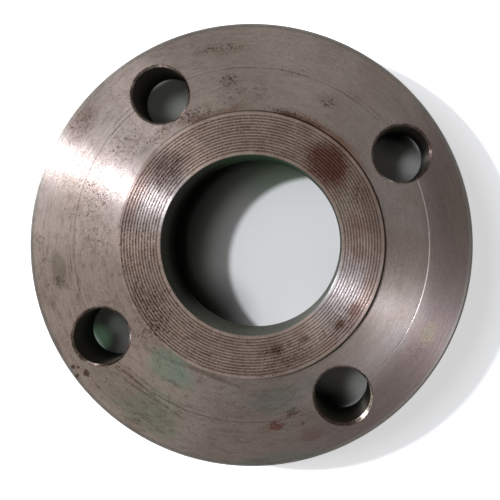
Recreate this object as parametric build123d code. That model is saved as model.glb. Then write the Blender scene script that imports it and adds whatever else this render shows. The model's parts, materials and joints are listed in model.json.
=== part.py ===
from build123d import *
import math
import os

# A flat-backed pipe flange with a raised gasket face, turned and drilled from one steel blank.
# Lengths are in millimetres. The origin is the centre of the back face, and +Z runs up the
# bore axis to the raised face. The bolt holes straddle the X and Y axes.

# Widths across the flange, from the bore out to the rim
bore_d = 61.9
gasket_face_w = 14.75  # makes the raised face 91.4 across
step_to_hole = 4.975  # makes the bolt circle 120.65 across
bolt_hole_d = 19.3
hole_to_rim = 6.225  # makes the flange 152.4 across
bolt_hole_count = 4

# Heights
flange_t = 18.05  # from the back face to the bolting face
raised_h = 1.0

# Edge breaks, all at 45 degrees, and the nose radius that the tool leaves under the step
rim_break = 0.8
raised_break = 0.25
bore_break = 0.25
bolt_hole_break = 0.6
step_root_r = 0.3

# Concentric gasket grooves of the raised face
groove_pitch = 1.0
groove_w = 0.7
groove_depth = 0.13
groove_edge_land = 0.4  # least flat left beside the bore and beside the step

# Layout line scribed round the bolting face, just outside the bolt circle
scribe_offset = 0.7
scribe_w = 0.35
scribe_depth = 0.08

bore_r = bore_d / 2
bolt_hole_r = bolt_hole_d / 2
raised_r = bore_r + gasket_face_w
bolt_circle_r = raised_r + step_to_hole + bolt_hole_r
flange_r = bolt_circle_r + bolt_hole_r + hole_to_rim
top_z = flange_t + raised_h


def groove_radii():
    """Middle radii of the grooves, spread evenly over the flat of the raised face."""
    inner = bore_r + bore_break
    outer = raised_r - raised_break
    room = outer - inner - 2 * groove_edge_land - groove_w
    steps = math.floor(room / groove_pitch)
    first = (inner + outer - steps * groove_pitch) / 2
    return [first + i * groove_pitch for i in range(steps + 1)]


def gasket_face_edges():
    """The raised face in section, from the step inwards to the bore: flats and round grooves."""
    edges = []
    start = (raised_r - raised_break, top_z)
    for r in reversed(groove_radii()):
        outer_lip = (r + groove_w / 2, top_z)
        bottom = (r, top_z - groove_depth)
        inner_lip = (r - groove_w / 2, top_z)
        edges.append(Line(start, outer_lip))
        edges.append(ThreePointArc(outer_lip, bottom, inner_lip))
        start = inner_lip
    edges.append(Line(start, (bore_r + bore_break, top_z)))
    return edges


def bolting_face_edges():
    """The bolting face in section, from the rim inwards: scribed line, then the step's root."""
    scribe_r = bolt_circle_r + scribe_offset
    return [
        Polyline(
            (flange_r - rim_break, flange_t),
            (scribe_r + scribe_w / 2, flange_t),
            (scribe_r, flange_t - scribe_depth),
            (scribe_r - scribe_w / 2, flange_t),
            (raised_r + step_root_r, flange_t),
        ),
        RadiusArc(
            (raised_r + step_root_r, flange_t),
            (raised_r, flange_t + step_root_r),
            step_root_r,
        ),
        Polyline(
            (raised_r, flange_t + step_root_r),
            (raised_r, top_z - raised_break),
            (raised_r - raised_break, top_z),
        ),
    ]


def bore_and_back_edges():
    """The bore, the back face and the rim in section."""
    return [
        Polyline(
            (bore_r + bore_break, top_z),
            (bore_r, top_z - bore_break),
            (bore_r, bore_break),
            (bore_r + bore_break, 0),
            (flange_r - rim_break, 0),
            (flange_r, rim_break),
            (flange_r, flange_t - rim_break),
            (flange_r - rim_break, flange_t),
        )
    ]


def turned_blank():
    edges = bolting_face_edges() + gasket_face_edges() + bore_and_back_edges()
    section = make_face([edge for line in edges for edge in line.edges()])
    return revolve(Plane.XZ * section, Axis.Z)


def bolt_hole_cutter():
    """A drill that breaks the edge of the hole at both faces."""
    past = 1.0
    wide_r = bolt_hole_r + bolt_hole_break + past
    section = make_face(
        Polyline(
            (0, -past),
            (wide_r, -past),
            (bolt_hole_r, bolt_hole_break),
            (bolt_hole_r, flange_t - bolt_hole_break),
            (wide_r, flange_t + past),
            (0, flange_t + past),
            close=True,
        )
    )
    return revolve(Plane.XZ * section, Axis.Z)


def flange():
    cutter = bolt_hole_cutter()
    straddle = 180 / bolt_hole_count
    holes = PolarLocations(bolt_circle_r, bolt_hole_count, start_angle=straddle)
    return turned_blank() - [place * cutter for place in holes]


os.makedirs("parts", exist_ok=True)
export_step(flange(), "parts/flange.step")
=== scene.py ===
import json
import math

import bpy
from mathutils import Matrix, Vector, noise


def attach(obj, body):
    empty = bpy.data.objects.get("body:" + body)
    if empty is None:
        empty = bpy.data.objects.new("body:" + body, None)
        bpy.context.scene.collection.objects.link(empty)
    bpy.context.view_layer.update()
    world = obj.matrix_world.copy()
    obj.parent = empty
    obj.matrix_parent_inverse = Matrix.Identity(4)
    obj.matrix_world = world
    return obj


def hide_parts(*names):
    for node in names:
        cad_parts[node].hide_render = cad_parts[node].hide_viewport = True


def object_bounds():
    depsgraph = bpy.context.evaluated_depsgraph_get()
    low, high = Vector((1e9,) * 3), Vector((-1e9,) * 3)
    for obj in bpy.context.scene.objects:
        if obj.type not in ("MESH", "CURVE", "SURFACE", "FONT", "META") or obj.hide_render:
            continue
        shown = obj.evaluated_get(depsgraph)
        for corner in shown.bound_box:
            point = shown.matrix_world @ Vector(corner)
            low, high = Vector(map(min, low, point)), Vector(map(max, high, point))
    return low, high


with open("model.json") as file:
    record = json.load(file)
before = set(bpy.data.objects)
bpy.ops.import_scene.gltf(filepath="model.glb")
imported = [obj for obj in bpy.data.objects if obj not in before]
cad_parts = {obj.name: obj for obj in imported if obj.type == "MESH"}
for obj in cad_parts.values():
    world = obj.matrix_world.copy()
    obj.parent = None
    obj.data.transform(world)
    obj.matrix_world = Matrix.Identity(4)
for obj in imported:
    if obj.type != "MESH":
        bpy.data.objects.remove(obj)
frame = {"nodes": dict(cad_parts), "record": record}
cad_low, cad_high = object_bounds()
cad_flange = frame["nodes"]["flange"]
MM = 0.001

# Main sizes of the flange, in metres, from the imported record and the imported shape
mounts = {mount["name"]: mount for mount in frame["record"]["mounts"]}
BORE_R = mounts["bore"]["dims"]["r_mm"] * MM
BOLT_CIRCLE_R = mounts["bolt_holes"]["dims"]["pcd_mm"] / 2 * MM
HOLE_R = mounts["bolt_holes"]["dims"]["hole_r_mm"] * MM
RIM_R = cad_high.x
TOP_Z = cad_high.z
cad_points = [vertex.co for vertex in cad_flange.data.vertices]
FACE_Z = max(p.z for p in cad_points if p.xy.length > 0.9 * RIM_R)
RAISED_R = max(p.xy.length for p in cad_points if p.z > (FACE_Z + TOP_Z) / 2)

# Small sizes of the flange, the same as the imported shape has
RIM_BREAK = 0.8 * MM
RAISED_BREAK = 0.25 * MM
BORE_BREAK = 0.25 * MM
HOLE_BREAK = 0.6 * MM
STEP_ROOT_R = 0.3 * MM
GROOVE_PITCH = 1.0 * MM
GROOVE_W = 0.7 * MM
GROOVE_DEPTH = 0.13 * MM
GROOVE_LAND = 0.4 * MM
SCRIBE_R = BOLT_CIRCLE_R + 0.7 * MM
SCRIBE_W = 0.35 * MM
SCRIBE_DEPTH = 0.08 * MM

# Camera: the photo looks straight down from right of and above the flange's middle
PHOTO_PX = 500
FLANGE_PX = (251.3, 245.0)  # the bore axis in the photo
FOOT_PX = (325.0, 224.0)  # the point straight below the lens
PX_PER_M = 2915.0  # at the bolting face
EYE_HEIGHT = 0.198  # above the bolting face
PHOTO_TURN = math.radians(13.7)  # the photo shows the flange turned clockwise by this


def turned(x, y, angle=PHOTO_TURN):
    """A point of the photo's own axes in the flange's axes."""
    return (x * math.cos(angle) - y * math.sin(angle), x * math.sin(angle) + y * math.cos(angle))


def make_camera():
    data = bpy.data.cameras.new("camera")
    camera = bpy.data.objects.new("camera", data)
    bpy.context.scene.collection.objects.link(camera)
    right = (FOOT_PX[0] - FLANGE_PX[0]) / PX_PER_M
    up = (FLANGE_PX[1] - FOOT_PX[1]) / PX_PER_M
    camera.location = (*turned(right, up), FACE_Z + EYE_HEIGHT)
    camera.rotation_euler = (0, 0, PHOTO_TURN)
    data.lens = PX_PER_M * EYE_HEIGHT / PHOTO_PX * data.sensor_width
    data.shift_x = 0.5 - FOOT_PX[0] / PHOTO_PX
    data.shift_y = FOOT_PX[1] / PHOTO_PX - 0.5
    bpy.context.scene.camera = camera


# Shape: a lathe turns the section, and four cutters drill it

LATHE_SEGMENTS = 360
HOLE_SEGMENTS = 96
GROOVE_STEPS = 6
ROOT_STEPS = 4
SHARP_ANGLE = math.radians(20)
CUTTER_PAST = 1.0 * MM
GROOVE_WEAR = 0.4  # most that a groove is deeper or shallower than meant, as a share of its depth
WEAR_AROUND = 11  # how fast that changes round the flange
WEAR_ACROSS = 0.8  # and from one groove to the next
EDGE_WOBBLE = 0.1 * MM  # unevenness of the holes' broken edges
WOBBLE_AROUND = 4

# Bolt holes: angle in degrees, then the side where the edge is broken wider, and by how much
HOLES = (
    (45, 14, 0.15 * MM),
    (135, 0, 0.0),
    (225, 314, 0.12 * MM),
    (315, 318, 0.45 * MM),
)


def groove_radii():
    """Middle radii of the grooves, spread evenly over the flat of the raised face."""
    inner = BORE_R + BORE_BREAK
    outer = RAISED_R - RAISED_BREAK
    room = outer - inner - 2 * GROOVE_LAND - GROOVE_W
    steps = math.floor(room / GROOVE_PITCH)
    first = (inner + outer - steps * GROOVE_PITCH) / 2
    return [first + i * GROOVE_PITCH for i in range(steps + 1)]


GROOVES = groove_radii()


def groove_section(middle):
    """One groove from its outer to its inner lip, as an arc."""
    arc_r = (GROOVE_W**2 / 4 + GROOVE_DEPTH**2) / (2 * GROOVE_DEPTH)
    half = math.asin(GROOVE_W / 2 / arc_r)
    points = []
    for i in range(GROOVE_STEPS + 1):
        a = half * (1 - 2 * i / GROOVE_STEPS)
        height = TOP_Z - GROOVE_DEPTH + arc_r * (1 - math.cos(a))
        points.append((middle + arc_r * math.sin(a), height))
    return points


def step_root_section():
    """The nose radius under the step, from the bolting face up."""
    points = []
    for i in range(ROOT_STEPS + 1):
        a = math.radians(90 * i / ROOT_STEPS)
        height = FACE_Z + STEP_ROOT_R * (1 - math.cos(a))
        points.append((RAISED_R + STEP_ROOT_R * (1 - math.sin(a)), height))
    return points


def flange_section():
    """The section from the rim inwards over the top, down the bore, and out again underneath."""
    return [
        (RIM_R - RIM_BREAK, FACE_Z),
        (SCRIBE_R + SCRIBE_W / 2, FACE_Z),
        (SCRIBE_R, FACE_Z - SCRIBE_DEPTH),
        (SCRIBE_R - SCRIBE_W / 2, FACE_Z),
        *step_root_section(),
        (RAISED_R, TOP_Z - RAISED_BREAK),
        (RAISED_R - RAISED_BREAK, TOP_Z),
        *(point for middle in reversed(GROOVES) for point in groove_section(middle)),
        (BORE_R + BORE_BREAK, TOP_Z),
        (BORE_R, TOP_Z - BORE_BREAK),
        (BORE_R, BORE_BREAK),
        (BORE_R + BORE_BREAK, 0.0),
        (RIM_R - RIM_BREAK, 0.0),
        (RIM_R, RIM_BREAK),
        (RIM_R, FACE_Z - RIM_BREAK),
    ]


def worn_grooves(r, z, angle):
    """The grooves are a little deeper in some places than in others."""
    in_groove = GROOVES[0] - GROOVE_W < r < GROOVES[-1] + GROOVE_W and z > TOP_Z - 2 * GROOVE_DEPTH
    if not in_groove:
        return r, z
    x, y = WEAR_AROUND * math.cos(angle), WEAR_AROUND * math.sin(angle)
    wear = GROOVE_WEAR * noise.noise(Vector((x, y, WEAR_ACROSS * r / GROOVE_PITCH)))
    return r, TOP_Z - (TOP_Z - z) * (1 + wear)


def turned_mesh(name, section, segments, change, closed=True):
    """A section of (r, z) points turned round Z; where it isn't closed, flat ends close it."""
    rows = len(section)
    points = []
    for i in range(segments):
        angle = 2 * math.pi * i / segments
        for r, z in section:
            r, z = change(r, z, angle)
            points.append((r * math.cos(angle), r * math.sin(angle), z))
    faces = []
    for i in range(segments):
        here, there = i * rows, (i + 1) % segments * rows
        for k in range(rows if closed else rows - 1):
            above = (k + 1) % rows
            faces.append((here + k, there + k, there + above, here + above))
    if not closed:
        faces.append([i * rows for i in reversed(range(segments))])
        faces.append([i * rows + rows - 1 for i in range(segments)])
    mesh = bpy.data.meshes.new(name)
    mesh.from_pydata(points, [], faces)
    return mesh


def hole_cutter(angle, wide_side, extra):
    """A drill that breaks the hole's edges; by hand at the top, so wider on one side and uneven."""
    under_r = HOLE_R + HOLE_BREAK + CUTTER_PAST
    section = [
        (under_r, -CUTTER_PAST),
        (HOLE_R, HOLE_BREAK),
        (HOLE_R, FACE_Z - HOLE_BREAK),
        (under_r, FACE_Z + CUTTER_PAST),
    ]

    def change(r, z, around):
        if z < FACE_Z / 2:
            return r, z
        wider = extra * max(0.0, math.cos(around - math.radians(wide_side)))
        place = Vector((WOBBLE_AROUND * math.cos(around), WOBBLE_AROUND * math.sin(around), angle))
        wider += EDGE_WOBBLE * noise.noise(place)
        return (r + wider, z) if z > FACE_Z else (r, z - wider)

    mesh = turned_mesh("hole_cutter", section, HOLE_SEGMENTS, change, closed=False)
    cutter = bpy.data.objects.new("hole_cutter", mesh)
    a = math.radians(angle)
    cutter.location = (BOLT_CIRCLE_R * math.cos(a), BOLT_CIRCLE_R * math.sin(a), 0)
    bpy.context.scene.collection.objects.link(cutter)
    return cutter


def make_flange():
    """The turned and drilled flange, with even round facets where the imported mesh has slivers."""
    blank = turned_mesh("turned_flange", flange_section(), LATHE_SEGMENTS, worn_grooves)
    flange = bpy.data.objects.new("turned_flange", blank)
    bpy.context.scene.collection.objects.link(flange)
    cutters = [hole_cutter(*hole) for hole in HOLES]
    for cutter in cutters:
        cut = flange.modifiers.new("drill", "BOOLEAN")
        cut.operation = "DIFFERENCE"
        cut.solver = "EXACT"
        cut.object = cutter
    drilled = bpy.data.meshes.new_from_object(flange.evaluated_get(bpy.context.evaluated_depsgraph_get()))
    flange.modifiers.clear()
    flange.data = drilled
    for cutter in cutters:
        bpy.data.objects.remove(cutter)
    drilled.shade_smooth()
    drilled.set_sharp_from_angle(angle=SHARP_ANGLE)
    return flange


def srgb(red, green, blue):
    """A colour written as the 0 to 255 values that a screen shows."""
    def linear(value):
        value /= 255
        return value / 12.92 if value <= 0.04045 else ((value + 0.055) / 1.055) ** 2.4
    return (linear(red), linear(green), linear(blue), 1.0)


class Nodes:
    """Builds a node tree: each call adds a node, feeds it numbers or sockets and returns its output."""

    def __init__(self, tree):
        self.tree = tree
        self.tree.nodes.clear()

    def node(self, kind, **settings):
        made = self.tree.nodes.new(kind)
        for name, value in settings.items():
            setattr(made, name, value)
        return made

    def feed(self, socket, value):
        if isinstance(value, bpy.types.NodeSocket):
            self.tree.links.new(value, socket)
        elif value is not None:
            socket.default_value = value

    def math(self, operation, a, b=None, c=None):
        made = self.node("ShaderNodeMath", operation=operation)
        for socket, value in zip(made.inputs, (a, b, c)):
            self.feed(socket, value)
        return made.outputs[0]

    def add(self, *values):
        total = values[0]
        for value in values[1:]:
            total = self.math("ADD", total, value)
        return total

    def times(self, *values):
        total = values[0]
        for value in values[1:]:
            total = self.math("MULTIPLY", total, value)
        return total

    def most(self, *values):
        total = values[0]
        for value in values[1:]:
            total = self.math("MAXIMUM", total, value)
        return total

    def length(self, a, b):
        return self.math("SQRT", self.add(self.times(a, a), self.times(b, b)))

    def step(self, value, low, high, to_low=0.0, to_high=1.0):
        """A smooth change from to_low at low to to_high at high; low may be the larger of the two."""
        made = self.node("ShaderNodeMapRange", interpolation_type="SMOOTHSTEP")
        for socket, given in zip(made.inputs[:5], (value, low, high, to_low, to_high)):
            self.feed(socket, given)
        return made.outputs[0]

    def band(self, value, middle, half, soft):
        """1 within half of the middle, falling to 0 over soft more."""
        return self.step(self.math("ABSOLUTE", self.add(value, -middle)), half + soft, half)

    def vector(self, x, y, z):
        made = self.node("ShaderNodeCombineXYZ")
        for socket, value in zip(made.inputs, (x, y, z)):
            self.feed(socket, value)
        return made.outputs[0]

    def noise(self, vector, scale, detail=2.0, roughness=0.5):
        made = self.node("ShaderNodeTexNoise")
        self.feed(made.inputs["Vector"], vector)
        for name, value in (("Scale", scale), ("Detail", detail), ("Roughness", roughness)):
            made.inputs[name].default_value = value
        return made.outputs["Fac"]

    def mix(self, amount, first, second, blend="MIX"):
        made = self.node("ShaderNodeMix", data_type="RGBA", blend_type=blend, clamp_factor=True)
        for name, value in (("Factor_Float", amount), ("A_Color", first), ("B_Color", second)):
            self.feed(next(s for s in made.inputs if s.identifier == name), value)
        return next(s for s in made.outputs if s.identifier == "Result_Color")


# Stains and crowds of flecks also end about this far above and below the bolting face
STAIN_DEPTH = 3 * MM


class SteelNodes(Nodes):
    """Nodes that know where a point lies on the flange, in metres."""

    def __init__(self, tree):
        super().__init__(tree)
        self.place = self.node("ShaderNodeTexCoord").outputs["Object"]
        split = self.node("ShaderNodeSeparateXYZ")
        self.feed(split.inputs[0], self.place)
        self.x, self.y, self.z = split.outputs
        self.r = self.length(self.x, self.y)
        corner = BOLT_CIRCLE_R * math.sqrt(0.5)
        from_hole_x = self.add(self.math("ABSOLUTE", self.x), -corner)
        from_hole_y = self.add(self.math("ABSOLUTE", self.y), -corner)
        self.hole_d = self.length(from_hole_x, from_hole_y)
        self.heading = (self.math("DIVIDE", self.x, self.r), self.math("DIVIDE", self.y, self.r))
        self.patches = self.noise(self.place, 160.0, detail=3.0, roughness=0.6)
        # Adding nothing makes a plain vector of the place. The many distances are dot products of it,
        # because with other nodes this long shader outgrows Cycles and the flange turns black.
        plain = self.node("ShaderNodeVectorMath", operation="ADD")
        self.feed(plain.inputs[0], self.place)
        self.plain_place = plain.outputs[0]
        depth = self.times(self.add(self.z, -FACE_Z), 1 / STAIN_DEPTH)
        self.depth = self.times(depth, depth)

    def arcs(self, per_metre, turns, detail=2.0, roughness=0.6):
        """Noise drawn out along the circles of the lathe, per_metre across them and turns round them."""
        across = self.times(self.add(self.r, self.z), per_metre)
        x, y = self.times(self.heading[0], turns), self.times(self.heading[1], turns)
        return self.noise(self.vector(across, x, y), 1.0, detail, roughness)

    def facing(self, angle, low, high):
        """0 to 1 as the point's direction from the bore axis nears the angle in degrees."""
        toward = self.add(self.times(self.heading[0], math.cos(math.radians(angle))),
                          self.times(self.heading[1], math.sin(math.radians(angle))))
        return self.step(toward, low, high)

    def along(self, x, y):
        """How far the point lies toward (x, y), times that vector's length."""
        made = self.node("ShaderNodeVectorMath", operation="DOT_PRODUCT")
        self.feed(made.inputs[0], self.plain_place)
        made.inputs[1].default_value = (x, y, 0)
        return made.outputs["Value"]

    def local(self, angle, radius, around, across):
        """Distance from a point of the upper side: 1 is around mm round from it, or across mm outward."""
        x, y = math.cos(math.radians(angle)), math.sin(math.radians(angle))
        outward = self.add(self.along(x / (across * MM), y / (across * MM)), -radius / across)
        aside = self.along(-y / (around * MM), x / (around * MM))
        squares = self.add(self.times(outward, outward), self.times(aside, aside), self.depth)
        return self.math("SQRT", squares)

    def flecks(self, per_metre, crowd):
        """Separate small dots of uneven size and outline, more and larger ones where crowd is larger."""
        wobble = self.node("ShaderNodeTexNoise")
        self.feed(wobble.inputs["Vector"], self.place)
        wobble.inputs["Scale"].default_value = 1.6 * per_metre
        shifted = self.node("ShaderNodeVectorMath", operation="MULTIPLY_ADD")
        self.feed(shifted.inputs[0], wobble.outputs["Color"])
        shifted.inputs[1].default_value = (0.7 / per_metre, 0.7 / per_metre, 0.7 / per_metre)
        self.feed(shifted.inputs[2], self.place)
        cells = self.node("ShaderNodeTexVoronoi")
        self.feed(cells.inputs["Vector"], shifted.outputs[0])
        cells.inputs["Scale"].default_value = per_metre
        chance = self.node("ShaderNodeSeparateColor")
        self.feed(chance.inputs[0], cells.outputs["Color"])
        spare = self.add(crowd, self.times(chance.outputs[0], -1.0))
        size = self.times(self.step(spare, -0.02, 0.25), 0.55)
        return self.step(self.add(cells.outputs["Distance"], self.times(size, -1.0)), 0.05, -0.15)


STEEL = srgb(121, 112, 108)
STEEL_LIGHT = srgb(148, 135, 127)
STEEL_BROWN = srgb(111, 99, 92)
STEEL_OLIVE = srgb(111, 106, 98)
STEEL_DARK = srgb(91, 80, 77)
RAISED_STEEL = srgb(150, 137, 129)
RAISED_BROWN = srgb(132, 114, 104)
RAISED_LIGHT = srgb(170, 153, 142)
RAISED_GLEAM_TONE = srgb(124, 119, 118)
RAISED_DULL = srgb(104, 88, 80)
GROOVE_SHADE = (0.30, 0.22, 0.19, 1.0)
SCRATCH_AND_HIGHLIGHT = srgb(172, 162, 157)
PITS = srgb(62, 50, 47)
FLECK_SMEAR = srgb(88, 70, 60)
RUST = srgb(88, 52, 42)
RUST_DARK = srgb(64, 40, 32)
GREEN_STAIN = srgb(114, 136, 118)
BLUE_TINT = srgb(124, 130, 134)
TEAL_GREY = srgb(92, 98, 94)
DAMP_BROWN = srgb(112, 84, 68)
OLIVE_STAIN = srgb(98, 92, 74)
RIM_GREY = srgb(104, 103, 97)
WALL = srgb(50, 51, 45)
HOLE_WALL = srgb(46, 42, 36)
WALL_FOOT = srgb(20, 22, 18)
WALL_GREEN_REFLECTION = srgb(54, 76, 54)
WALL_GREY = srgb(96, 96, 88)
EDGE_BROWN = srgb(64, 50, 44)
EDGE_HIGHLIGHT = srgb(205, 194, 176)
STREAK = srgb(84, 70, 60)

# Sides of the flange where the colour changes, as said at each: angles in degrees anticlockwise from its
# X axis
# painted light on the lamps' side, which also has more flecks
LIGHT_SIDE = 170.0
# painted shade on the outer right
DARK_SIDE = 353.0
# lighter and browner towards the lower left
BROWN_LIGHT_SIDE = 221.0
LEFT_GLEAM = 167.0  # the raised face is painted greyer and darker in the two gleams
RIGHT_GLEAM = 347.0
# painted green reflection on the bore's wall
BORE_REFLECTION_SIDE = 84.0
BORE_GREY_SIDE = 287.0

# Single marks: angle in degrees, radius in mm, then half length round the flange and half width across
RING_MARK = (192.3, 72.3, 1.0, 1.0)
LIT_EDGE_SPOT = (321.5, 66.0, 9.5, 6.0)  # painted highlight on a hole's broken edge

# Stains of the bolting face and the raised face: angle in degrees, radius in mm, half length round the
# flange, half width across, unevenness, colour and strength
STAINS = (
    (60.5, 38.2, 8.8, 7.2, 0.55, RUST, 0.88),
    (158.4, 71.2, 8.0, 4.2, 0.9, STEEL_DARK, 0.5),
    (150.2, 38.1, 9.0, 5.0, 0.9, STEEL_DARK, 0.45),
    (50.0, 37.5, 4.5, 3.0, 0.9, RUST, 0.3),
    (10.0, 36.7, 3.2, 2.4, 0.8, RUST, 0.35),
    (331.7, 40.7, 2.4, 1.3, 1.1, RUST_DARK, 0.75),
    (341.6, 41.7, 2.6, 2.2, 1.2, RUST_DARK, 0.6),
    (297.5, 36.8, 2.4, 1.4, 1.1, RUST_DARK, 0.6),
    (313.2, 37.1, 2.0, 1.2, 1.2, RUST_DARK, 0.5),
    (291.6, 62.7, 2.6, 1.5, 1.7, RUST, 0.75),
    (297.5, 59.2, 2.4, 1.5, 1.8, RUST_DARK, 0.65),
    (299.9, 63.6, 0.7, 0.6, 0.8, RUST, 0.7),
    (301.4, 68.4, 4.2, 2.2, 1.2, RUST, 0.28),
    (228.1, 74.1, 0.75, 0.75, 0.6, RUST_DARK, 0.85),
    (228.9, 72.7, 0.5, 0.5, 0.6, RUST_DARK, 0.8),
    (231.5, 71.7, 1.3, 1.0, 0.8, RUST_DARK, 0.85),
    (230.6, 74.8, 0.8, 0.8, 0.9, RUST_DARK, 0.75),
    (87.7, 46.2, 3.4, 0.8, 0.9, RUST, 0.6),
    (82.0, 46.4, 9.0, 0.9, 0.8, RUST_DARK, 0.5),
    (70.0, 46.5, 12.0, 1.5, 0.8, DAMP_BROWN, 0.55),
    (56.0, 46.5, 10.0, 1.0, 0.8, DAMP_BROWN, 0.5),
    (120.0, 46.6, 12.0, 1.0, 1.4, DAMP_BROWN, 0.45),
    (262.0, 46.7, 16.0, 0.9, 1.4, RUST_DARK, 0.4),
    (244.0, 61.2, 13.0, 0.4, 1.3, RUST, 0.65),
    (250.0, 62.5, 15.0, 0.35, 1.4, RUST, 0.6),
    (255.0, 60.6, 8.0, 0.3, 1.4, RUST_DARK, 0.4),
    (249.2, 50.0, 7.5, 5.6, 0.6, GREEN_STAIN, 0.6),
    (257.0, 52.0, 5.0, 4.0, 0.6, GREEN_STAIN, 0.35),
    (253.3, 62.5, 9.0, 5.0, 0.6, GREEN_STAIN, 0.28),
    (252.0, 69.0, 15.0, 4.5, 0.9, GREEN_STAIN, 0.34),
    (243.0, 66.0, 22.0, 6.5, 1.0, OLIVE_STAIN, 0.3),
    # a faint bluish tint where the lower right gleam falls
    (341.2, 59.4, 6.0, 3.5, 0.5, BLUE_TINT, 0.15),
    (292.5, 53.8, 9.0, 5.0, 1.0, TEAL_GREY, 0.5),
    (306.0, 52.0, 5.0, 3.0, 1.0, TEAL_GREY, 0.35),
    (292.0, 74.0, 17.0, 2.4, 0.8, TEAL_GREY, 0.5),
    (201.2, 66.5, 6.5, 2.6, 0.5, OLIVE_STAIN, 0.5),
    (347.2, 68.0, 4.4, 2.6, 0.8, OLIVE_STAIN, 0.45),
    (23.4, 70.9, 13.0, 3.6, 0.8, OLIVE_STAIN, 0.25),
    (60.0, 69.0, 9.0, 4.0, 0.8, OLIVE_STAIN, 0.2),
)

# Crowds of rust flecks: angle, radius, half length round and half width across as above, and density
CROWDS = (
    (158.4, 71.2, 9.0, 5.0, 0.10),
    (155.1, 55.5, 11.0, 8.0, 0.10),
    (170.0, 63.0, 12.0, 8.0, 0.06),
    (126.3, 48.5, 9.0, 3.4, 0.11),
    (143.0, 49.0, 9.0, 2.8, 0.1),
    (90.0, 47.0, 7.0, 1.8, 0.12),
    (77.0, 47.2, 7.0, 1.9, 0.1),
    (64.0, 46.8, 7.0, 1.6, 0.08),
    (112.2, 68.0, 8.5, 3.0, 0.12),
    (112.1, 56.5, 4.5, 3.6, 0.13),
    (106.0, 51.0, 14.0, 4.5, 0.07),
    (75.9, 55.8, 4.0, 3.4, 0.12),
    (92.0, 60.6, 9.0, 2.0, 0.08),
    (150.2, 38.1, 9.5, 5.5, 0.13),
    (178.9, 53.7, 8.0, 5.0, 0.08),
    (191.1, 53.6, 8.0, 7.0, 0.075),
    (201.2, 65.5, 8.0, 6.0, 0.06),
    (236.9, 47.6, 9.0, 5.0, 0.075),
    (244.5, 68.6, 16.0, 6.0, 0.05),
    (226.0, 40.0, 14.0, 6.5, 0.08),
    (340.2, 65.3, 10.0, 9.0, 0.06),
    (331.7, 40.7, 9.0, 5.0, 0.1),
    (300.0, 39.0, 14.0, 6.0, 0.08),
    (40.0, 39.0, 8.0, 6.0, 0.07),
)

# Parts of circles that the tool or a divider scratched: radius in mm, facing angle and how far round it
# reaches as the cosine's low and high, and strength
CIRCLES = (
    (62.25, 190.0, -0.1, 0.6, 0.5),
    (63.1, 185.0, 0.1, 0.8, 0.35),
    (62.3, 70.0, 0.6, 0.9, 0.35),
    (53.6, 106.0, 0.92, 0.99, 0.5),
    (59.5, 240.0, 0.6, 0.95, 0.45),
    (72.6, 150.0, 0.5, 0.9, 0.3),
    (74.1, 165.0, 0.4, 0.9, 0.3),
    (70.2, 158.0, 0.8, 0.97, 0.3),
    (71.3, 235.0, 0.5, 0.9, 0.3),
)

# Light scratched circles: radius in mm, facing angle, and the cosine's low and high
LIGHT_CIRCLES = (
    (62.0, 149.0, 0.975, 0.995),
    (63.2, 148.0, 0.98, 0.996),
    (60.4, 150.0, 0.985, 0.997),
)


def stained(n, colour):
    """Adds the rust patches and stains, with ragged outlines, and a small ring-shaped mark."""
    ragged = n.add(n.noise(n.place, 900.0, detail=3.0, roughness=0.65), -0.5)
    for angle, radius, along, across, uneven, tint, strength in STAINS:
        distance = n.add(n.local(angle, radius, along, across), n.times(ragged, 2 * uneven))
        colour = n.mix(n.times(n.step(distance, 1.25, 0.6), strength), colour, tint)
    ring = n.band(n.local(*RING_MARK), 1.15, 0.12, 0.25)
    return n.mix(n.times(ring, n.step(ragged, -0.1, 0.05), 0.5), colour, PITS)


def flecked(n, colour, raised):
    """Adds fine rust flecks, crowded in some places and few elsewhere, and returns them too."""
    left = n.facing(LIGHT_SIDE, -0.3, 0.9)
    scattered = n.step(n.noise(n.place, 95.0, detail=3.0, roughness=0.6), 0.45, 0.7)
    crowd = n.times(scattered, n.add(0.04, n.times(left, 0.04)))
    crowd = n.add(crowd, n.times(raised, 0.035))
    for angle, radius, along, across, density in CROWDS:
        near = n.step(n.local(angle, radius, along, across), 1.2, 0.3)
        crowd = n.add(crowd, n.times(near, density))
    smear = n.step(n.noise(n.place, 900.0, detail=4.0, roughness=0.8), 0.44, 0.6)
    smear = n.times(smear, n.step(crowd, -0.03, 0.16), 0.5)
    colour = n.mix(smear, colour, FLECK_SMEAR)
    clumps = n.times(n.noise(n.place, 500.0, detail=3.0, roughness=0.7), 0.45)
    fine = n.times(n.noise(n.place, 2400.0, detail=1.0, roughness=0.5), 0.55)
    specks = n.step(n.add(clumps, fine, crowd), 0.66, 0.74)
    crowd = n.times(crowd, 2.8)
    dots = n.most(n.flecks(1500.0, crowd), n.flecks(900.0, n.times(crowd, 0.6)))
    flecks = n.most(n.times(specks, 0.7), n.times(dots, 0.75))
    tint = n.mix(n.step(n.patches, 0.4, 0.6), PITS, RUST_DARK)
    return n.mix(flecks, colour, tint), flecks


def groove_dirt_and_shade(n, raised):
    """Where dirt and painted shade lie in the grooves: most on the left, and broken into dashes."""
    offset = n.math("WRAP", n.add(n.r, -GROOVES[0]), GROOVE_PITCH / 2, -GROOVE_PITCH / 2)
    groove = n.band(offset, 0.0, 0.3 * GROOVE_W, 0.25 * GROOVE_W)
    middle, half = (GROOVES[0] + GROOVES[-1]) / 2, (GROOVES[-1] - GROOVES[0] + GROOVE_W) / 2
    within = n.band(n.r, middle, half, 0.05 * MM)
    dashes = n.step(n.arcs(1000.0, 75.0, detail=3.0, roughness=0.7), 0.42, 0.6)
    left = n.facing(180.0, -0.6, 0.8)
    amount = n.add(0.5, n.times(dashes, n.add(0.3, n.times(left, 0.2))))
    return n.times(groove, within, raised, amount)


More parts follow.
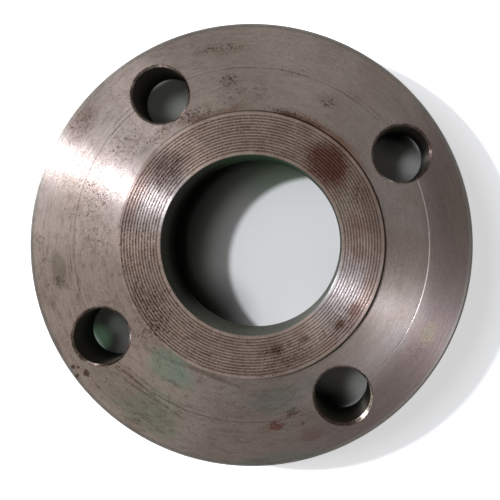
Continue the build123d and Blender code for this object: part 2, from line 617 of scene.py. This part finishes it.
def hole_edges(n, colour):
    """The broken edges of the holes are dull brown with burrs round them, with a painted highlight in one
    place.
    """
    top_side = n.step(n.z, FACE_Z - 1.6 * MM, FACE_Z - 1.2 * MM)
    ragged = n.add(n.noise(n.place, 800.0, detail=3.0, roughness=0.7), -0.5)
    wobble = n.times(ragged, 1.3 * MM)
    burr = n.band(n.add(n.hole_d, wobble), HOLE_R + 0.65 * MM, 0.1 * MM, 0.3 * MM)
    bevel = n.step(n.z, FACE_Z - 0.02 * MM, FACE_Z - 0.08 * MM)
    bevel = n.times(bevel, n.step(n.hole_d, HOLE_R + 1.3 * MM, HOLE_R + 1.2 * MM))
    dull = n.step(n.noise(n.place, 260.0, detail=2.0, roughness=0.6), 0.4, 0.6, to_low=0.5, to_high=0.9)
    colour = n.mix(n.times(bevel, top_side, dull), colour, EDGE_BROWN)
    # painted highlight on one broken edge
    painted_glint = n.times(bevel, top_side, n.step(n.local(*LIT_EDGE_SPOT), 1.3, 0.8), 0.85)
    colour = n.mix(painted_glint, colour, EDGE_HIGHLIGHT)
    return n.mix(n.times(burr, top_side, n.step(ragged, -0.12, 0.1), 0.85), colour, EDGE_BROWN)


def walled(n, colour):
    """The walls are dark, partly oil-dark steel and partly painted shade, with more painted shade towards
    the back; the bore has a painted green reflection on one side and is greyer on another.
    """
    bore = n.step(n.r, BORE_R + 0.05 * MM, BORE_R + 0.02 * MM)
    wall = n.most(bore, n.step(n.hole_d, HOLE_R + 0.05 * MM, HOLE_R + 0.02 * MM))
    # painted shade: the walls darken towards the back
    tone = n.mix(n.step(n.z, 0.15 * TOP_Z, 0.8 * TOP_Z), WALL_FOOT, n.mix(bore, HOLE_WALL, WALL))
    # painted green reflection on the bore's wall
    tone = n.mix(n.times(n.facing(BORE_REFLECTION_SIDE, 0.6, 0.95), bore, 0.7), tone, WALL_GREEN_REFLECTION)
    tone = n.mix(n.times(n.facing(BORE_GREY_SIDE, 0.5, 0.95), bore, 0.8), tone, WALL_GREY)
    return n.mix(wall, colour, tone)


def bare_faces(n, clouds, raised):
    """Grey steel with brown and olive clouds and a browner raised face; painted light makes the left
    lighter, painted shade darkens the outer right, the lower left is lighter and browner, and the raised
    face is painted greyer and darker where the gleams fall.
    """
    bare = n.mix(n.step(clouds, 0.38, 0.66), STEEL, STEEL_BROWN)
    bare = n.mix(n.times(n.step(n.patches, 0.5, 0.72), 0.5), bare, STEEL_OLIVE)
    left_gleam = n.facing(LEFT_GLEAM, 0.9, 0.985)
    # painted light: the lamps' side is lighter, less so under brown clouds and in the left gleam
    light_side = n.facing(LIGHT_SIDE, -0.95, 0.5)
    light_side = n.times(light_side, n.step(clouds, 0.25, 0.65, to_low=1.0, to_high=0.65))
    light_side = n.times(light_side, n.step(left_gleam, 0.0, 1.0, to_low=1.0, to_high=0.35))
    bare = n.mix(light_side, bare, STEEL_LIGHT)
    # lighter and browner towards the lower left
    bare = n.mix(n.times(n.facing(BROWN_LIGHT_SIDE, 0.6, 0.97), 0.4), bare, RAISED_LIGHT)
    # painted shade: the outer right is darker
    dark_side = n.times(n.facing(DARK_SIDE, 0.3, 0.9), n.step(n.r, 56 * MM, 68 * MM))
    bare = n.mix(dark_side, bare, STEEL_DARK)

    bare_raised = n.mix(n.step(n.patches, 0.35, 0.7), RAISED_STEEL, RAISED_BROWN)
    # painted light: the raised face is lighter on the left
    bare_raised = n.mix(n.times(n.facing(190.0, -0.4, 0.6), 0.6), bare_raised, RAISED_LIGHT)
    # where the gleams fall the raised face is painted greyer and darker, which tones the highlights down,
    # and its outer part is also darker on the right
    gleam_tone = n.most(left_gleam, n.facing(RIGHT_GLEAM, 0.9, 0.985))
    bare_raised = n.mix(n.times(gleam_tone, 0.85), bare_raised, RAISED_GLEAM_TONE)
    outer = n.times(n.step(n.r, 38 * MM, 43 * MM), n.most(gleam_tone, n.times(n.facing(0.0, 0.3, 0.9), 0.7)))
    bare_raised = n.mix(n.times(outer, 0.8), bare_raised, RAISED_DULL)
    colour = n.mix(raised, bare, bare_raised)
    rim = n.band(n.r, RIM_R - 0.4 * MM, 0.7 * MM, 0.8 * MM)
    return n.mix(n.times(rim, 0.6), colour, RIM_GREY)


def scratched(n, colour, raised):
    """Adds the scribed line and the scratched circles, broken and mostly faint, the light circles, and a
    painted highlight on the scribed line's outer flank on the right.
    """
    broken = n.step(n.arcs(300.0, 9.0), 0.42, 0.6)
    scribed = n.band(n.r, SCRIBE_R - 0.14 * MM, 0.06 * MM, 0.12 * MM)
    lines = n.times(scribed, n.add(0.15, n.times(broken, 0.45)))
    for radius, angle, low, high, strength in CIRCLES:
        circle = n.band(n.r, radius * MM, 0.06 * MM, 0.14 * MM)
        lines = n.most(lines, n.times(circle, n.facing(angle, low, high), broken, strength))
    colour = n.mix(n.times(lines, n.step(raised, 1.0, 0.0)), colour, EDGE_BROWN)

    # painted highlight on the outer flank of the scribed line, on the right
    highlight_and_scratches = n.band(n.r, SCRIBE_R + 0.1 * MM, 0.14 * MM, 0.14 * MM)
    highlight_and_scratches = n.times(highlight_and_scratches, n.facing(15.0, 0.86, 0.95), 0.75)
    highlight_and_scratches = n.times(highlight_and_scratches, n.step(n.patches, 0.2, 0.5, to_low=0.4, to_high=1.0))
    for radius, angle, low, high in LIGHT_CIRCLES:
        circle = n.times(n.band(n.r, radius * MM, 0.05 * MM, 0.15 * MM), n.facing(angle, low, high), 0.35)
        highlight_and_scratches = n.most(highlight_and_scratches, circle)
    return n.mix(highlight_and_scratches, colour, SCRATCH_AND_HIGHLIGHT)


def step_foot(n, colour):
    """Adds a dark line at the foot of the step, partly dirt and partly painted shadow of the step,
    darkest on the right, and rust at the top.
    """
    foot = n.band(n.add(n.r, n.times(n.patches, -0.5 * MM)), RAISED_R, 0.25 * MM, 0.25 * MM)
    low = n.step(n.z, TOP_Z - 0.3 * MM, TOP_Z - 0.6 * MM)
    # painted shadow of the step on the right, with dirt in the corner
    colour = n.mix(n.times(foot, low, n.facing(20.0, -0.2, 0.6), 0.9), colour, WALL_FOOT)
    return n.mix(n.times(foot, low, n.facing(85.0, 0.0, 0.6), 0.5), colour, RUST_DARK)


def steel_material():
    """Turned steel: circular tool marks, a directional sheen, specks, rust and stains."""
    material = bpy.data.materials.new("turned_steel")
    material.use_nodes = True
    n = SteelNodes(material.node_tree)

    fine_arcs = n.arcs(1900.0, 14.0)
    broad_arcs = n.arcs(420.0, 3.0)
    clouds = n.noise(n.place, 42.0, detail=3.0, roughness=0.55)
    grain = n.noise(n.place, 2300.0, detail=2.0, roughness=0.7)
    sheen = n.noise(n.place, 4200.0, detail=1.0, roughness=0.5)
    raised = n.step(n.r, RAISED_R + 0.1 * MM, RAISED_R)

    colour = bare_faces(n, clouds, raised)
    colour = stained(n, colour)
    colour, flecks = flecked(n, colour, raised)
    streaks = n.step(n.arcs(650.0, 13.0, detail=4.0, roughness=0.75), 0.48, 0.68)
    streaks = n.times(streaks, n.facing(210.0, -1.0, 0.7), 0.42)
    colour = n.mix(streaks, colour, STREAK)
    # dirt and painted shade in the grooves
    colour = n.mix(groove_dirt_and_shade(n, raised), colour, n.mix(1.0, colour, GROOVE_SHADE, "MULTIPLY"))
    colour = scratched(n, colour, raised)
    colour = step_foot(n, colour)
    colour = walled(n, hole_edges(n, colour))

    # Grain and circles change the lightness a little everywhere
    light = n.add(
        1.0,
        n.times(n.add(grain, -0.5), 0.55),
        n.times(n.add(fine_arcs, -0.5), 0.3),
        n.times(n.add(broad_arcs, -0.5), 0.25),
    )
    colour = n.mix(1.0, colour, n.vector(light, light, light), "MULTIPLY")

    # The radial tangent, turned by a quarter, draws the gleam out across the circles of the lathe
    shader = n.node("ShaderNodeBsdfPrincipled")
    shader.inputs["Metallic"].default_value = 1.0
    shader.inputs["Anisotropic"].default_value = 1.0
    shader.inputs["Anisotropic Rotation"].default_value = 0.25
    tangent = n.node("ShaderNodeTangent", direction_type="RADIAL", axis="Z")
    n.feed(shader.inputs["Tangent"], tangent.outputs[0])
    n.feed(shader.inputs["Base Color"], colour)
    n.feed(shader.inputs["Roughness"], n.step(sheen, 0.42, 0.58, to_low=0.35, to_high=0.58))

    tool_marks = n.arcs(3800.0, 6.0, detail=1.0, roughness=0.5)
    height = n.add(tool_marks, n.times(grain, 0.04), n.times(flecks, -0.12))
    bump = n.node("ShaderNodeBump")
    bump.inputs["Strength"].default_value = 1.0
    bump.inputs["Distance"].default_value = 0.06 * MM
    n.feed(bump.inputs["Height"], height)
    n.feed(shader.inputs["Normal"], bump.outputs[0])

    output = n.node("ShaderNodeOutputMaterial")
    n.feed(output.inputs["Surface"], shader.outputs[0])
    return material


def seen_directly(n):
    """1 for camera, mirror and glass rays, 0 for the light that falls on things."""
    rays = n.node("ShaderNodeLightPath")
    kinds = ("Is Camera Ray", "Is Glossy Ray", "Is Transmission Ray")
    return n.most(*(rays.outputs[kind] for kind in kinds))


# The floor under the flange. The photo shows it through the bore and the holes, and its pixels are
# turned into places on the floor by floor_place.
FLOOR_SIDE = 12.0
FLOOR_GAP = 0.02 * MM  # under the flange, so that the two never share a plane
FLOOR_WHITE = srgb(240, 240, 240)
FLOOR_UNDER = srgb(206, 203, 197)
BLACK = (0.0, 0.0, 0.0, 1.0)
BORE_SHADE = (0.03, 0.03, 0.025, 1.0)  # in the bore's shadow, away from the lamp's patch
BORE_GREEN_REFLECTION = (0.55, 0.75, 0.55, 1.0)
BORE_REFLECTION_PX = (278, 165)
LIT_PX = (316, 263)  # middle of the lamp's round patch on the floor, seen through the bore
BORE_FOOT_PX = (257.5, 243.2)  # middle of what the bore shows of the floor

# Painted shade on places of the floor, darker than the rest: pixel, full and outer reach in pixels, and
# strength
FLOOR_PAINTED_SHADE = (
    ((205, 320), 12, 62, 0.85),
    ((394, 136), 5, 28, 0.97),
    ((325, 408), 8, 38, 0.95),
)

# Faint painted light on places of the floor, glowing only as seen directly: pixel, full and outer reach,
# and colour
FLOOR_PAINTED_LIGHT = (
    ((164, 96), 16, 30, (0.012, 0.014, 0.012, 1.0)),
    ((180, 110), 3, 20, (0.07, 0.075, 0.065, 1.0)),
    ((99, 338), 4, 18, (0.028, 0.06, 0.034, 1.0)),
    ((118, 325), 3, 14, (0.03, 0.035, 0.03, 1.0)),
    ((411, 166), 3, 17, (0.07, 0.075, 0.072, 1.0)),
    ((364, 384), 4, 24, (0.07, 0.075, 0.07, 1.0)),
)


def floor_place(pixel):
    """The place on the floor that the photo shows at a pixel."""
    per_px = (EYE_HEIGHT + FACE_Z) / EYE_HEIGHT / PX_PER_M
    right = (pixel[0] - FOOT_PX[0]) * per_px + (FOOT_PX[0] - FLANGE_PX[0]) / PX_PER_M
    up = (FOOT_PX[1] - pixel[1]) * per_px + (FLANGE_PX[1] - FOOT_PX[1]) / PX_PER_M
    return turned(right, up)


class FloorNodes(Nodes):
    """Nodes that know where a point lies on the floor."""

    def __init__(self, tree):
        super().__init__(tree)
        split = self.node("ShaderNodeSeparateXYZ")
        self.feed(split.inputs[0], self.node("ShaderNodeTexCoord").outputs["Object"])
        self.x, self.y = split.outputs[0], split.outputs[1]

    def near(self, pixel, full, none):
        """1 within full pixels of a pixel of the photo, 0 beyond none."""
        x, y = floor_place(pixel)
        scale = PX_PER_M * EYE_HEIGHT / (EYE_HEIGHT + FACE_Z)  # pixels to a metre of the floor
        distance = self.length(self.add(self.x, -x), self.add(self.y, -y))
        return self.step(distance, none / scale, full / scale)


def floor_material():
    """White floor; under the flange, seen only through its holes, it has darker places of painted shade,
    lighter places of painted light, and a painted green reflection.
    """
    material = bpy.data.materials.new("pale_floor")
    material.use_nodes = True
    n = FloorNodes(material.node_tree)
    under = n.step(n.length(n.x, n.y), 0.97 * RIM_R, 0.9 * RIM_R)
    open_floor = n.math("SUBTRACT", 1.0, under)

    in_bore = n.near(BORE_FOOT_PX, 86, 96)
    unlit = n.math("SUBTRACT", 1.0, n.near(LIT_PX, 80, 92))
    # painted green reflection on the floor in the bore's shadow
    green = n.times(n.near(BORE_REFLECTION_PX, 20, 60), unlit, in_bore, 0.7)
    patch = n.mix(green, FLOOR_UNDER, BORE_GREEN_REFLECTION, "MULTIPLY")
    far_side = n.times(n.math("SUBTRACT", 1.0, n.near(LIT_PX, 98, 134)), in_bore)
    patch = n.mix(far_side, patch, BORE_SHADE, "MULTIPLY")
    for pixel, full, none, strength in FLOOR_PAINTED_SHADE:
        patch = n.mix(n.times(n.near(pixel, full, none), strength), patch, BLACK, "MULTIPLY")

    # The open floor is brightened, more so far away, so that it ends as white as the world behind it
    far = n.step(n.length(n.x, n.y), 0.2, 0.7, to_low=0.56, to_high=1.0)
    glow = n.mix(open_floor, BLACK, n.vector(far, far, far))
    for pixel, full, none, light in FLOOR_PAINTED_LIGHT:
        glow = n.mix(n.near(pixel, full, none), glow, light, "ADD")

    shader = n.node("ShaderNodeBsdfPrincipled")
    shader.inputs["Specular IOR Level"].default_value = 0.08
    n.feed(shader.inputs["Base Color"], n.mix(under, FLOOR_WHITE, patch))
    n.feed(shader.inputs["Roughness"], n.step(under, 0.0, 1.0, to_low=0.6, to_high=0.15))
    n.feed(shader.inputs["Emission Strength"], seen_directly(n))
    n.feed(shader.inputs["Emission Color"], glow)
    output = n.node("ShaderNodeOutputMaterial")
    n.feed(output.inputs["Surface"], shader.outputs[0])
    return material


def make_floor():
    half = FLOOR_SIDE / 2
    mesh = bpy.data.meshes.new("floor")
    corners = [(-half, -half, 0), (half, -half, 0), (half, half, 0), (-half, half, 0)]
    mesh.from_pydata(corners, [], [(0, 1, 2, 3)])
    floor = bpy.data.objects.new("floor", mesh)
    floor.location.z = cad_low.z - FLOOR_GAP
    bpy.context.scene.collection.objects.link(floor)
    mesh.materials.append(floor_material())


# Lamps: name, angle anticlockwise from the photo's right, elevation, distance, size, power and colour
LAMPS = (
    ("key_lamp", 161.0, 39.5, 0.9, 0.06, 9.5, (0.92, 0.98, 1.1)),
    ("soft_lamp", 155.0, 40.0, 0.9, 0.7, 4.5, (0.94, 0.98, 1.07)),
)
WORLD_DIFFUSE = 0.08
WORLD_SEEN = 1.0


def make_lights():
    for name, picture_angle, elevation, distance, size, power, colour in LAMPS:
        data = bpy.data.lights.new(name, "AREA")
        data.shape = "DISK"
        data.size = size
        data.energy = power
        data.color = colour
        lamp = bpy.data.objects.new(name, data)
        bpy.context.scene.collection.objects.link(lamp)
        flat = distance * math.cos(math.radians(elevation))
        angle = math.radians(picture_angle)
        x, y = turned(flat * math.cos(angle), flat * math.sin(angle))
        lamp.location = (x, y, TOP_Z + distance * math.sin(math.radians(elevation)))
        lamp.rotation_mode = "QUATERNION"
        lamp.rotation_quaternion = (Vector((0, 0, TOP_Z)) - lamp.location).to_track_quat("-Z", "Y")
    world = bpy.data.worlds.new("world")
    bpy.context.scene.world = world
    world.use_nodes = True
    n = Nodes(world.node_tree)
    shade = n.node("ShaderNodeBackground")
    shade.inputs["Color"].default_value = (1, 1, 1, 1)
    n.feed(shade.inputs["Strength"], n.step(seen_directly(n), 0.0, 1.0, WORLD_DIFFUSE, WORLD_SEEN))
    output = n.node("ShaderNodeOutputWorld")
    n.feed(output.inputs["Surface"], shade.outputs[0])


make_camera()
make_lights()
make_floor()

flange = make_flange()
flange.data.materials.append(steel_material())
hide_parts("flange")
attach(flange, "root")

bpy.context.scene.view_settings.view_transform = "Standard"
